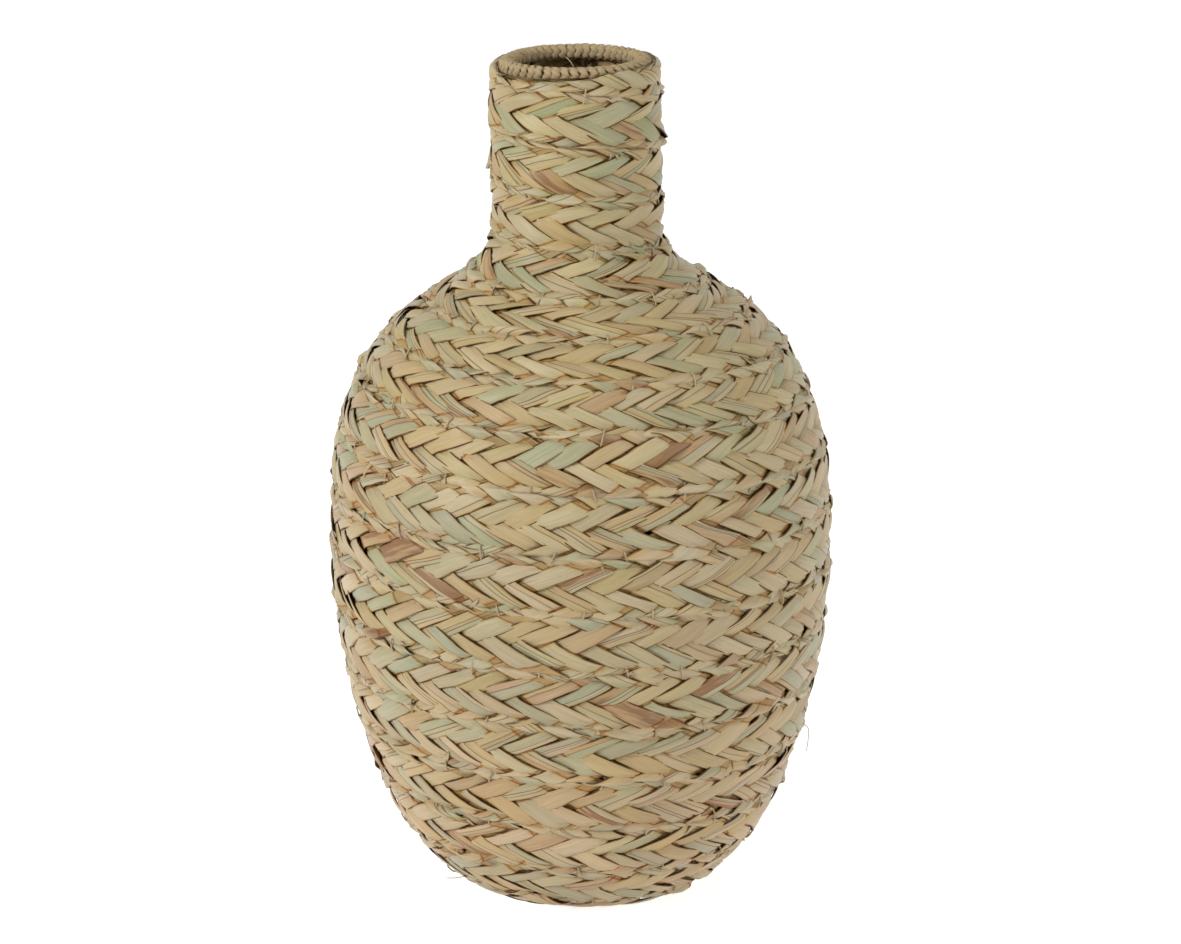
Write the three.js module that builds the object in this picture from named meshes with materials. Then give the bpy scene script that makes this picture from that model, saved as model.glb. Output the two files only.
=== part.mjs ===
// A bottle-shaped vase of plaited seagrass. One flat plait is wound in a spiral from the
// middle of the base to the mouth, and sewn edge to edge over a frame of wire hoops and ribs.
// The mouth is a wire ring wrapped with twine. Millimetres, +Z up, standing on Z = 0.

import * as THREE from "three";

// Outline of the outside, from the middle of the base to the mouth
const TOTAL_HEIGHT = 500;
const BASE_RADIUS = 57;
const BELLY_RADIUS = 148.5;
const BELLY_HEIGHT = 220;
const NECK_RADIUS = 49.8;
const NECK_LENGTH = 95;
// How far the outline runs straight on, as a curve's handle, at each end of its two bends
const BASE_REACH = 45;
const BELLY_REACH_DOWN = 130;
const BELLY_REACH_UP = 162;
const NECK_REACH_DOWN = 58;

// The plait: its courses are wider on the body than on the shoulder and neck, and change at a
// drop below the neck's foot
const PLAIT_THICKNESS = 5;
const BODY_COURSE = 35;
const NECK_COURSE = 30.4;
const COURSE_CHANGE_DROP = 96;
const COURSE_CHANGE_SPAN = 30;
const PLAIT_EDGE_BEVEL = 5;
const MOUTH_EDGE_BEVEL = 0.8;
const PLAIT_END_WIDTH = 6;
const BASE_HOLE_RADIUS = 1.5;
const SEAM_GAP = 0.6;
const STEPS_PER_COURSE = 24;
const START_ANGLE = Math.PI / 2;

// The sewing thread, which lies in the seam's groove
const THREAD_DIAMETER = 1.6;
const THREAD_SIDES = 3;

// Wire frame. The two hoops above the belly are a drop below the neck's foot.
const RIB_WIRE = 3.5;
const RIB_COUNT = 8;
const RIB_STEPS = 28;
const RIB_TAIL = 12;
const HOOP_WIRE = 3.5;
const WIRE_SIDES = 6;
const LOWER_BELLY_HOOP_HEIGHT = 90;
const UPPER_BELLY_HOOP_DROP = 100;
const SHOULDER_HOOP_DROP = 43;

// The mouth: a wire ring and the twine wrapped round it
const MOUTH_WIRE = 2.6;
const MOUTH_RING_STEPS = 48;
const TWINE_DIAMETER = 2.8;
const WRAP_TURNS = 56;
const WRAP_STEPS = 7;
const TWINE_SIDES = 4;

// Clearances
const WIRE_CLEARANCE = 0.3;
const RIB_CLEARANCE = 0.4;
const WRAP_CLEARANCE = 0.3;

const STRAW = new THREE.MeshStandardMaterial({ color: 0xb39a72, roughness: 0.75, metalness: 0 });
const THREAD = new THREE.MeshStandardMaterial({ color: 0xc2ad86, roughness: 0.8, metalness: 0 });
const TWINE = new THREE.MeshStandardMaterial({ color: 0xa98f63, roughness: 0.85, metalness: 0 });
const WIRE = new THREE.MeshStandardMaterial({ color: 0x2b2927, roughness: 0.5, metalness: 0.8 });

// A winding's flat facets lie this share of their corners' radius from the axis
const facetShare = (steps) => Math.cos(Math.PI / steps);

// The wrapped ring fits just inside the plait, and its top is the top of the vase
const wrapLineRadius = (MOUTH_WIRE / 2 + WRAP_CLEARANCE + TWINE_DIAMETER / 2) / facetShare(WRAP_STEPS);
const wrapRadius = wrapLineRadius + TWINE_DIAMETER / 2;
const mouthHeight = TOTAL_HEIGHT - wrapRadius;
const plaitBack = (NECK_RADIUS - PLAIT_THICKNESS) * facetShare(STEPS_PER_COURSE);
const mouthRadius = plaitBack - WRAP_CLEARANCE - wrapRadius;

const neckFootHeight = TOTAL_HEIGHT - NECK_LENGTH;

const outline = new THREE.Path();
outline.moveTo(0, 0);
outline.lineTo(BASE_RADIUS, 0);
outline.bezierCurveTo(
  BASE_RADIUS + BASE_REACH, 0,
  BELLY_RADIUS, BELLY_HEIGHT - BELLY_REACH_DOWN,
  BELLY_RADIUS, BELLY_HEIGHT,
);
outline.bezierCurveTo(
  BELLY_RADIUS, BELLY_HEIGHT + BELLY_REACH_UP,
  NECK_RADIUS, neckFootHeight - NECK_REACH_DOWN,
  NECK_RADIUS, neckFootHeight,
);
outline.lineTo(NECK_RADIUS, mouthHeight);
const outlineLength = outline.getLength();

// The point, as (radius, height), that lies this far along the outline and this deep inside it
function wallPoint(distance, depth) {
  const share = THREE.MathUtils.clamp(distance / outlineLength, 0, 1);
  const point = outline.getPoint(share);
  const tangent = outline.getTangent(share);
  return new THREE.Vector2(point.x - depth * tangent.y, point.y + depth * tangent.x);
}

// The distance along the outline at which it reaches a height, found by halving the range
function distanceAtHeight(height) {
  const nearEnough = 1e-6;
  let low = BASE_RADIUS;
  let high = outlineLength;
  while (high - low > nearEnough) {
    const middle = (low + high) / 2;
    if (outline.getPoint(middle / outlineLength).y < height) low = middle;
    else high = middle;
  }
  return high;
}

function turned(point, angle) {
  return new THREE.Vector3(point.x * Math.cos(angle), point.x * Math.sin(angle), point.y);
}

// A closed solid through a row of sections, each with as many points as the next
function loft(sections) {
  const sides = sections[0].length;
  const positions = sections.flat().flatMap((point) => point.toArray());
  const triangles = [];
  for (let i = 0; i + 1 < sections.length; i++) {
    for (let j = 0; j < sides; j++) {
      const here = i * sides + j;
      const beside = i * sides + ((j + 1) % sides);
      triangles.push(here, beside, beside + sides, here, beside + sides, here + sides);
    }
  }
  const last = (sections.length - 1) * sides;
  for (let j = 1; j + 1 < sides; j++) {
    triangles.push(0, j + 1, j, last, last + j, last + j + 1);
  }
  const geometry = new THREE.BufferGeometry();
  geometry.setAttribute("position", new THREE.Float32BufferAttribute(positions, 3));
  geometry.setIndex(triangles);
  geometry.computeVertexNormals();
  return geometry;
}

// The least distance between points of a winding that lie half a turn or more apart along it
function leastGap(sections, stepsPerTurn) {
  let least = Infinity;
  const apart = Math.ceil(stepsPerTurn / 2);
  for (let i = 0; i < sections.length; i++) {
    for (let k = i + apart; k < sections.length; k++) {
      for (const a of sections[i]) {
        for (const b of sections[k]) least = Math.min(least, a.distanceToSquared(b));
      }
    }
  }
  return Math.sqrt(least);
}

// The seam, step by step, as distances along the outline. It starts one course before the
// middle of the base, so that the first course widens from nothing there.
function seamDistances() {
  const change = distanceAtHeight(neckFootHeight - COURSE_CHANGE_DROP);
  const half = COURSE_CHANGE_SPAN / 2;
  const seam = [-BODY_COURSE];
  while (seam.at(-1) < outlineLength + BODY_COURSE) {
    const share = THREE.MathUtils.smoothstep(seam.at(-1), change - half, change + half);
    const course = THREE.MathUtils.lerp(BODY_COURSE, NECK_COURSE, share);
    seam.push(seam.at(-1) + course / STEPS_PER_COURSE);
  }
  return seam;
}

const seam = seamDistances();
const stepAngle = (step) => START_ANGLE - (2 * Math.PI * step) / STEPS_PER_COURSE;

// The plait's lower and upper edge at each step, kept between the base's middle and the mouth
function plaitEdges() {
  const edges = [];
  for (let step = 0; step + STEPS_PER_COURSE < seam.length; step++) {
    const low = Math.max(seam[step] + SEAM_GAP / 2, BASE_HOLE_RADIUS);
    const high = Math.min(seam[step + STEPS_PER_COURSE] - SEAM_GAP / 2, outlineLength);
    if (high - low >= PLAIT_END_WIDTH) edges.push({ step, low, high });
  }
  return edges;
}

// Both edges of the plait are bevelled to a point at half its thickness, and less so at the mouth.
// The flat between the bevels is at least a third of its width.
function plaitFlat({ low, high }) {
  const most = (high - low) / 3;
  const atTop = high < outlineLength ? PLAIT_EDGE_BEVEL : MOUTH_EDGE_BEVEL;
  return [low + Math.min(PLAIT_EDGE_BEVEL, most), high - Math.min(atTop, most)];
}

function plaitSection({ step, low, high }) {
  const [flatLow, flatHigh] = plaitFlat({ low, high });
  const corners = [
    [low, PLAIT_THICKNESS / 2],
    [flatLow, 0],
    [flatHigh, 0],
    [high, PLAIT_THICKNESS / 2],
    [flatHigh, PLAIT_THICKNESS],
    [flatLow, PLAIT_THICKNESS],
  ];
  return corners.map(([distance, depth]) => turned(wallPoint(distance, depth), stepAngle(step)));
}

// How far a straight line between two places on the wall lies inside the wall's curve
function chordDrop(from, to, depth) {
  const middle = (from + to) / 2;
  const onCurve = wallPoint(middle, depth);
  const inward = wallPoint(middle, depth + 1).sub(onCurve);
  const onChord = wallPoint(from, depth).add(wallPoint(to, depth)).multiplyScalar(0.5);
  return onChord.sub(onCurve).dot(inward);
}

// The plait's back is flat between its bevels
function backDrop(edges) {
  const [flatLow, flatHigh] = plaitFlat(edges);
  return chordDrop(flatLow, flatHigh, PLAIT_THICKNESS);
}

// The thread touches neither slope of the groove that two bevelled edges make
function threadSection(step) {
  const slope = Math.atan2(PLAIT_THICKNESS / 2, PLAIT_EDGE_BEVEL);
  const reach = THREAD_DIAMETER / 2 + WIRE_CLEARANCE - (SEAM_GAP / 2) * Math.sin(slope);
  const depth = PLAIT_THICKNESS / 2 - reach / Math.cos(slope);
  const section = [];
  for (let side = 0; side < THREAD_SIDES; side++) {
    const angle = (2 * Math.PI * side) / THREAD_SIDES;
    const across = (THREAD_DIAMETER / 2) * Math.sin(angle);
    const inward = (THREAD_DIAMETER / 2) * Math.cos(angle);
    section.push(turned(wallPoint(seam[step] - across, depth + inward), stepAngle(step)));
  }
  return section;
}

// The twine is a helix round the mouth ring's wire, with its two ends a turn apart
function wrapSections() {
  const steps = WRAP_TURNS * WRAP_STEPS;
  const nudge = 0.01;
  const sweep = 2 * Math.PI * (1 - 1 / WRAP_TURNS);
  const lineAt = (step) => {
    const round = (2 * Math.PI * step) / WRAP_STEPS;
    const radius = mouthRadius + wrapLineRadius * Math.cos(round);
    const height = mouthHeight + wrapLineRadius * Math.sin(round);
    return turned(new THREE.Vector2(radius, height), (sweep * step) / steps);
  };
  const sections = [];
  for (let step = 0; step <= steps; step++) {
    const centre = lineAt(step);
    const wire = turned(new THREE.Vector2(mouthRadius, mouthHeight), (sweep * step) / steps);
    const outward = centre.clone().sub(wire).normalize();
    const onward = lineAt(step + nudge).sub(lineAt(step - nudge)).normalize();
    const sideways = new THREE.Vector3().crossVectors(onward, outward).normalize();
    const section = [];
    for (let side = 0; side < TWINE_SIDES; side++) {
      const angle = (2 * Math.PI * side) / TWINE_SIDES;
      const point = centre.clone();
      point.addScaledVector(outward, (TWINE_DIAMETER / 2) * Math.cos(angle));
      point.addScaledVector(sideways, (TWINE_DIAMETER / 2) * Math.sin(angle));
      section.push(point);
    }
    sections.push(section);
  }
  return sections;
}

const plait = plaitEdges();

// A rib's line stands upright in the middle of the winding's facets, just inside the plait
const deepestBack = PLAIT_THICKNESS + Math.max(...plait.map(backDrop));
const ribDepth = deepestBack + RIB_CLEARANCE + RIB_WIRE / 2;
const ribStart = BASE_RADIUS - RIB_TAIL;
const ribEnd = outlineLength - wrapRadius - WIRE_CLEARANCE;
const ribAt = (step) => THREE.MathUtils.lerp(ribStart, ribEnd, step / RIB_STEPS);

// The point that lies this far inside a rib's straight piece, at a distance along the wall
function insideRib(distance, depth) {
  const step = Math.floor(((distance - ribStart) / (ribEnd - ribStart)) * RIB_STEPS);
  const from = wallPoint(ribAt(step), ribDepth);
  const onward = wallPoint(ribAt(step + 1), ribDepth).sub(from);
  const share = (distance - ribAt(step)) / (ribAt(step + 1) - ribAt(step));
  const inward = new THREE.Vector2(-onward.y, onward.x).normalize();
  return from.addScaledVector(onward, share).addScaledVector(inward, depth);
}

class RibLine extends THREE.Curve {
  constructor(angle) {
    super();
    this.angle = angle;
  }

  getPoint(share) {
    const point = wallPoint(ribAt(share * RIB_STEPS), ribDepth);
    point.x *= facetShare(STEPS_PER_COURSE);
    return turned(point, this.angle);
  }

  // The rib's steps are even along the wall
  getUtoTmapping(share) {
    return share;
  }
}

function ribGeometry(angle) {
  const section = [];
  for (let side = 0; side < WIRE_SIDES; side++) {
    const turn = (2 * Math.PI * side) / WIRE_SIDES;
    section.push(new THREE.Vector2(Math.cos(turn), Math.sin(turn)).multiplyScalar(RIB_WIRE / 2));
  }
  const extrudePath = new RibLine(angle);
  return new THREE.ExtrudeGeometry(new THREE.Shape(section), { steps: RIB_STEPS, extrudePath });
}

const vase = new THREE.Group();

function addPiece(name, geometry, material) {
  const piece = new THREE.Mesh(geometry, material.clone());
  piece.name = name;
  vase.add(piece);
  return piece;
}

const plaitSections = plait.map(plaitSection);
addPiece("plait", loft(plaitSections), STRAW);

// The thread runs wherever the plait has its full bevel on each side of the seam
const isWide = (width) => width > 3 * PLAIT_EDGE_BEVEL;
const sewn = plait.filter(({ low, high }) => isWide(low - BASE_HOLE_RADIUS) && isWide(high - low));
addPiece("sewing_thread", loft(sewn.map(({ step }) => threadSection(step))), THREAD);

const twineSections = wrapSections();
addPiece("mouth_wrap", loft(twineSections), TWINE);
const mouthRing = new THREE.TorusGeometry(mouthRadius, MOUTH_WIRE / 2, WIRE_SIDES, MOUTH_RING_STEPS);
addPiece("mouth_ring", mouthRing, WIRE).position.z = mouthHeight;

// Hoops lie inside the ribs, the neck's one midway up it
const hoopDepth = RIB_WIRE / 2 + WIRE_CLEARANCE + HOOP_WIRE / 2;
const hoops = {
  neck_hoop: distanceAtHeight(neckFootHeight + NECK_LENGTH / 2),
  neck_foot_hoop: distanceAtHeight(neckFootHeight),
  shoulder_hoop: distanceAtHeight(neckFootHeight - SHOULDER_HOOP_DROP),
  upper_belly_hoop: distanceAtHeight(neckFootHeight - UPPER_BELLY_HOOP_DROP),
  belly_hoop: distanceAtHeight(BELLY_HEIGHT),
  lower_belly_hoop: distanceAtHeight(LOWER_BELLY_HOOP_HEIGHT),
  base_hoop: BASE_RADIUS,
};
for (const [name, distance] of Object.entries(hoops)) {
  const place = insideRib(distance, hoopDepth);
  const hoop = new THREE.TorusGeometry(place.x, HOOP_WIRE / 2, WIRE_SIDES, STEPS_PER_COURSE);
  addPiece(name, hoop, WIRE).position.z = place.y;
}

for (let rib = 0; rib < RIB_COUNT; rib++) {
  const angle = stepAngle(0.5) + (2 * Math.PI * rib) / RIB_COUNT;
  addPiece(`rib_${rib + 1}`, ribGeometry(angle), WIRE);
}

console.log("least gap of the plait to itself, mm:", leastGap(plaitSections, STEPS_PER_COURSE).toFixed(2));
console.log("least gap of the twine to itself, mm:", leastGap(twineSections, WRAP_STEPS).toFixed(2));

export default vase;
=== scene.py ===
"""A bottle-shaped vase of plaited seagrass, with the looks of the real one.

One flat plait of nine leaf strands is wound in a spiral from the middle of the base to the mouth and sewn
edge to edge over a wire frame. The mouth is a wire ring wrapped with twine. Metres, in the CAD model's
frame.
"""

import math

import bmesh
import bpy
from mathutils import Matrix, Vector


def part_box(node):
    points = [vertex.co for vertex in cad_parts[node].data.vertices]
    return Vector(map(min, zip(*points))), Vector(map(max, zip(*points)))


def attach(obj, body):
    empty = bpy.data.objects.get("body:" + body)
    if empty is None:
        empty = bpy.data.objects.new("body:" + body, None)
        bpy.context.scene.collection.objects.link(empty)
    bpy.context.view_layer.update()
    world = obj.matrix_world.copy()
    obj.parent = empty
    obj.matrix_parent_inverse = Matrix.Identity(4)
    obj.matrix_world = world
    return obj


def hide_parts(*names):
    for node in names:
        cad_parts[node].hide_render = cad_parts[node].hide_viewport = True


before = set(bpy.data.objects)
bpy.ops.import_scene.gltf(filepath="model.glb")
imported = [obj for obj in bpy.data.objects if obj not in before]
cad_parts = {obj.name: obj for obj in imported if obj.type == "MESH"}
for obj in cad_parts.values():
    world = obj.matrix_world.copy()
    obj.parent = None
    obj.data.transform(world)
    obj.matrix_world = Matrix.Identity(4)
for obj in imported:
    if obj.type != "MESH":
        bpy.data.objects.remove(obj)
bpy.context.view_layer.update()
scene = bpy.context.scene

# Outline of the outside, from the middle of the base to the mouth, as in the CAD model
BASE_RADIUS = 0.057
BELLY_RADIUS = 0.1485
BELLY_HEIGHT = 0.220
NECK_RADIUS = 0.0498
NECK_FOOT_HEIGHT = 0.405
BASE_REACH = 0.045
BELLY_REACH_DOWN = 0.130
BELLY_REACH_UP = 0.162
NECK_REACH_DOWN = 0.058
BEND_STEPS = 160

# Courses of the plait, as in the CAD model
BODY_COURSE = 0.035
NECK_COURSE = 0.0304
COURSE_CHANGE_HEIGHT = 0.309
COURSE_CHANGE_SPAN = 0.030
PLAIT_END_WIDTH = 0.0005
BASE_HOLE_RADIUS = 0.0015
STEPS_PER_COURSE = 96
START_ANGLE = math.pi / 2

# The last turn runs past the mouth, where its leaves bend in over the rim. On one side the rim dips.
RIM_DROP = 0.0025
RIM_RADIUS = 0.005
RIM_BEND = math.radians(70)
RIM_STEPS = 12
RIM_REACH = 0.85 * RIM_RADIUS * RIM_BEND
RIM_SPILL = 0.02
RIM_DIP = 0.0042
RIM_DIP_ANGLE = math.radians(-125)
RIM_DIP_COSINES = (0.35, 0.95)
RIM_DIP_SPREAD = 0.4

# The plait's strands. A strand crosses the plait from edge to edge, over and under the other eight, and its
# long run on the face is a float. Floats lie side by side along the plait, at this spacing.
STRAND_COUNT = 9
FLOAT_SPACING = 0.0195
STEPS_PER_CROSSING = 46
LEAF_CORNERS = 12
LEAF_WIDTH_SHARE = 1.18
LEAF_THICKNESS = 0.0006
LEAF_EDGE_POWER = 0.4
LEAF_FACE_POWER = 0.2
FLOAT_LIFT = 0.0010
FLOAT_ARCH = 0.8
PLAIT_DEPTH = 0.0024
SEAM_PULL = 0.0010
FLOOR_SOFTNESS = 0.0012

# Where a strand comes over the others (1) or goes under them (-1), and its float, in float spacings
WEAVE_CHANGES = ((-0.45, 0.45, 1), (1.50, 2.00, -1), (4.25, 4.75, 1), (7.00, 7.50, -1), (8.55, 9.45, 1))
FLOAT_MIDDLE = 6.0
FLOAT_REACH = 1.6

# Floats are narrower at the foot, between these distances along the outline
FOOT_WIDTH_SHARE = 0.77
FOOT_START = (0.045, 0.065)
FOOT_END = (0.10, 0.16)

# The strand's turns at the plait's edges
TURN_ROUNDNESS = 0.97
FOLD_SHARE = 0.15
FOLD_SINK = 0.0006
FOLD_CROWN = 0.0008
EDGE_OVERLAP = 0.0012

# How leaves differ from an even weave: in width, along the plait, across it, in slope, in lean and in bends
LEAF_NUMBERS_PER_STRAND = 661
LEAF_JOIN = 0.07
STRAND_STRIDE = 7.31
ROW_STRIDE = 3.77
WIDTH_SPREAD = 0.20
WIDTH_WOBBLE = 0.70
SHIFT_SPREAD = 0.0020
SLOW_SHIFT = 0.006
QUICK_SHIFT = 0.008
COURSE_SHIFT = 0.016
COURSE_SWAY = 0.005
STRAND_WANDER = 0.0045
SLOPE_SPREAD = 0.008
SLOPE_START = (0.46, 0.56)
SLOPE_END = (0.84, 0.96)
LEAN = 0.0004
STEEP_LEAN = 0.0009
LEAN_BACK = 0.0002
LEAN_WOBBLE = 0.0012
CROWN_RANGE = (-0.0002, 0.0013)
BEND_SPREAD = 0.0003
BEND_WOBBLE = 0.0006
COURSE_LUMPS = 0.0030

# Leaves bulge on their way to the edges, more on the neck than on the body, and not at the rim
STRONG_BULGE = 0.0044
BODY_BULGE = 0.0004
NECK_BULGE = 0.0022
LEAST_BULGE = 0.3
BULGE_GAIN = 1.3
NECK_BULGE_START = -0.01
NECK_BULGE_FULL = 0.02
RIM_BULGE_FADE = 0.012
RIM_BULGE_END = 0.004

# Sewing stitches across the seams
STITCHED_SHARE = 0.972
STITCH_SPACING = 0.045
STITCH_LENGTH = 0.011
STITCH_DIAMETER = 0.0010
STITCH_SLANT = 0.0022
STITCH_SINK = 0.004
STITCH_LIFT = 0.0006
STITCH_POINTS = 8
THREAD_CORNERS = 6

# Ends of leaves that stick out of the seams, and fine fibres that stand off them
SEAM_SPREAD = 0.003
LEAF_END_COUNT = 260
LEAF_END_POINTS = 6
LEAF_END_CORNERS = 6
LEAF_END_TAPER = 0.85
LEAF_END_ROOT_DEPTH = 0.0018
LEAF_END_TILT = 0.0005
FIBRE_COUNT = 320
FIBRE_POINTS = 5
FIBRE_CORNERS = 3
FIBRE_CURL = 1.5
FIBRE_TAPER = 0.7
FIBRE_ROOT_DEPTH = 0.0016

# Twine round the mouth's ring
TWINE_TURNS = 50
TWINE_STEPS = 24
TWINE_CORNERS = 10
TWINE_WIDTH = 0.0055
TWINE_HEIGHT = 0.0030
TWINE_TWISTS = 3
TWINE_LEAN = 0.45
TWINE_UNEVENNESS = 0.5
TWINE_LUMPS = 0.0009
PLY_DEPTH = 0.22
HAIR_COUNT = 1800
HAIR_POINTS = 4
HAIR_CORNERS = 3
HAIR_ROOT_DEPTH = 0.0006
HAIR_TAPER = 0.6

# Tubes start at any size, because each of their points is placed anew
DRAFT_SIZE = 0.001

# Stray fibres, each a few points from its root to its tip
STRAY_DIAMETER = 0.0005
STRAY_FIBRES = (
    ((-0.101, -0.021, 0.342), (-0.108, -0.022, 0.346), (-0.110, -0.023, 0.351), (-0.106, -0.022, 0.354)),
    ((-0.067, -0.028, 0.008), (-0.076, -0.032, 0.006), (-0.083, -0.035, 0.008)),
    ((0.126, -0.030, 0.103), (0.134, -0.032, 0.102), (0.1345, -0.032, 0.094), (0.133, -0.032, 0.085)),
    ((-0.006, 0.036, 0.493), (-0.003, 0.031, 0.492), (-0.001, 0.029, 0.488)),
)

# Colours of the leaves, from the rare brown ones to the green ones, and of their marks, some of which are
# painted shade and painted highlight
LEAF_COLOURS = (
    (0.00, (0.25, 0.130, 0.050)),
    (0.03, (0.41, 0.264, 0.125)),
    (0.08, (0.44, 0.312, 0.168)),
    (0.18, (0.46, 0.342, 0.164)),
    (0.36, (0.47, 0.366, 0.194)),
    (0.56, (0.50, 0.404, 0.238)),
    (0.72, (0.45, 0.372, 0.214)),
    (0.84, (0.393, 0.354, 0.208)),
    (1.00, (0.357, 0.346, 0.209)),
)
# Pale cream at the folds, partly the leaf's colour and partly painted highlight
FOLD_CREAM_AND_HIGHLIGHT = (0.56, 0.47, 0.31, 1.0)
FOLD_STAIN = (0.20, 0.105, 0.045, 1.0)
SPECK_BROWN = (0.26, 0.135, 0.045, 1.0)
# Painted shade, where leaves go under others and along their margins
UNDER_SHADE = (0.56, 0.30, 0.09, 1.0)
MARGIN_SHADE = (1.0, 0.88, 0.64, 1.0)
# Partly the leaves' brown edges, partly painted crevice shadow
EDGE_BROWN_AND_SHADE = (0.085, 0.033, 0.005, 1.0)
PINK_HEIGHTS = (0.08, 0.18)
YELLOWED_HEIGHTS = (0.26, 0.36)

# Other colours
# Painted shade in the creases between turns of spun fibre
CREASE_SHADE = (0.10, 0.052, 0.016, 1.0)
LACQUER_BROWN = (0.060, 0.040, 0.024, 1.0)
RUST_BROWN = (0.14, 0.075, 0.033, 1.0)
FLOOR_GREY = (0.85, 0.85, 0.85, 1.0)
WHITE = (1.0, 1.0, 1.0, 1.0)

# The photograph's camera
IMAGE_WIDTH = 1181
FOCAL_PIXELS = 4216.8
SENSOR_WIDTH = 36.0
CAMERA_DISTANCE = 2.5
CAMERA_ELEVATION = math.radians(15.66)
CAMERA_ROLL = math.radians(0.66)
CAMERA_RANGE = 50.0
AIM_POINT = Vector((0.0062, 0.0, 0.2502))

# The studio: each lamp's name, place, size and power, and how bright the world and the floor shine and look
LAMPS = (
    ("key", Vector((-2.2, -1.5, 1.3)), 0.5, 43.4),
    ("fill", Vector((2.3, -1.3, 0.9)), 0.9, 19.4),
    ("top", Vector((0.0, -0.4, 2.6)), 0.9, 13.8),
)
WORLD_LIGHT = 0.23
WORLD_LOOK = 1.0
FLOOR_LIGHT = 0.32
FLOOR_LOOK = 0.80
FLOOR_REACH = 20.0


def operator(operation):
    """A Math operation as a method, and the same with its operands the other way round."""

    def forward(self, other):
        return self.graph.math(operation, self, other)

    def reflected(self, other):
        return self.graph.math(operation, other, self)

    return forward, reflected


class Socket:
    """An output of a node. Arithmetic on it adds Math nodes, and a name in brackets is another output."""

    __add__, __radd__ = operator("ADD")
    __sub__, __rsub__ = operator("SUBTRACT")
    __mul__, __rmul__ = operator("MULTIPLY")
    __truediv__, __rtruediv__ = operator("DIVIDE")
    __pow__, __rpow__ = operator("POWER")
    __mod__, __rmod__ = operator("FLOORED_MODULO")

    def __init__(self, graph, output):
        self.graph = graph
        self.output = output

    def __getitem__(self, name):
        return Socket(self.graph, pick(self.output.node.outputs, name))

    def __abs__(self):
        return self.graph.math("ABSOLUTE", self)


def pick(sockets, key):
    """The socket with that number, or the one in use with that name."""
    if isinstance(key, int):
        return sockets[key]
    return next(socket for socket in sockets if socket.name == key and socket.enabled)


class Graph:
    """A node tree under construction."""

    def __init__(self, tree):
        self.tree = tree

    def node(self, kind, settings=None, inputs=None):
        """Adds a node, sets it up, gives its inputs their values or links, and returns its first output."""
        node = self.tree.nodes.new(kind)
        for name, value in (settings or {}).items():
            if name == "stops":
                set_stops(node.color_ramp, value)
            else:
                setattr(node, name, value)
        for key, value in (inputs or {}).items():
            socket = pick(node.inputs, key)
            if isinstance(value, Socket):
                self.tree.links.new(value.output, socket)
            else:
                socket.default_value = value
        in_use = [output for output in node.outputs if output.enabled]
        return Socket(self, in_use[0]) if in_use else node

    def math(self, operation, *operands):
        return self.node("ShaderNodeMath", {"operation": operation}, dict(enumerate(operands)))

    def point(self, x=0.0, y=0.0, z=0.0):
        return self.node("ShaderNodeCombineXYZ", {}, {"X": x, "Y": y, "Z": z})

    def split(self, vector):
        parts = self.node("ShaderNodeSeparateXYZ", {}, {"Vector": vector})
        return parts["X"], parts["Y"], parts["Z"]

    def rise(self, value, low, high, start=0.0, end=1.0):
        """Start below low, end above high, and a smooth step between."""
        settings = {"interpolation_type": "SMOOTHSTEP"}
        limits = {"From Min": low, "From Max": high, "To Min": start, "To Max": end}
        return self.node("ShaderNodeMapRange", settings, {"Value": value, **limits})

    def fall(self, value, low, high):
        """1 below low, 0 above high, and a smooth step between."""
        return self.rise(value, low, high, 1.0, 0.0)

    def noise(self, place, scale=1.0, detail=2.0, roughness=0.5):
        """Noise about zero, mostly between -0.5 and 0.5."""
        inputs = {"Vector": place, "Scale": scale, "Detail": detail, "Roughness": roughness}
        return self.node("ShaderNodeTexNoise", {}, inputs) - 0.5

    def mix(self, factor, first, second, blend_type="MIX"):
        settings = {"data_type": "RGBA", "blend_type": blend_type}
        return self.node("ShaderNodeMix", settings, {"Factor": factor, "A": first, "B": second})


def set_stops(ramp, stops):
    for position, colour in stops[2:]:
        ramp.elements.new(position)
    for element, (position, colour) in zip(ramp.elements, stops):
        element.position = position
        element.color = (*colour, 1.0)


# Guide lines


def bend(start, start_handle, end_handle, end):
    """Points of a Bezier curve after its start."""
    points = []
    for step in range(1, BEND_STEPS + 1):
        t = step / BEND_STEPS
        s = 1 - t
        points.append(s**3 * start + 3 * s * s * t * start_handle + 3 * s * t * t * end_handle + t**3 * end)
    return points


def wall_outline():
    """The outside's outline as points (radius, height)."""
    ring_low, ring_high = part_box("mouth_ring")
    mouth_height = (ring_low[2] + ring_high[2]) / 2
    centre = Vector((0, 0))
    foot = Vector((BASE_RADIUS, 0))
    belly = Vector((BELLY_RADIUS, BELLY_HEIGHT))
    neck = Vector((NECK_RADIUS, NECK_FOOT_HEIGHT))
    across = Vector((1, 0))
    up = Vector((0, 1))
    lower = bend(foot, foot + across * BASE_REACH, belly - up * BELLY_REACH_DOWN, belly)
    upper = bend(belly, belly + up * BELLY_REACH_UP, neck - up * NECK_REACH_DOWN, neck)
    return [centre, foot, *lower, *upper, Vector((NECK_RADIUS, mouth_height - RIM_DROP))]


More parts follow.
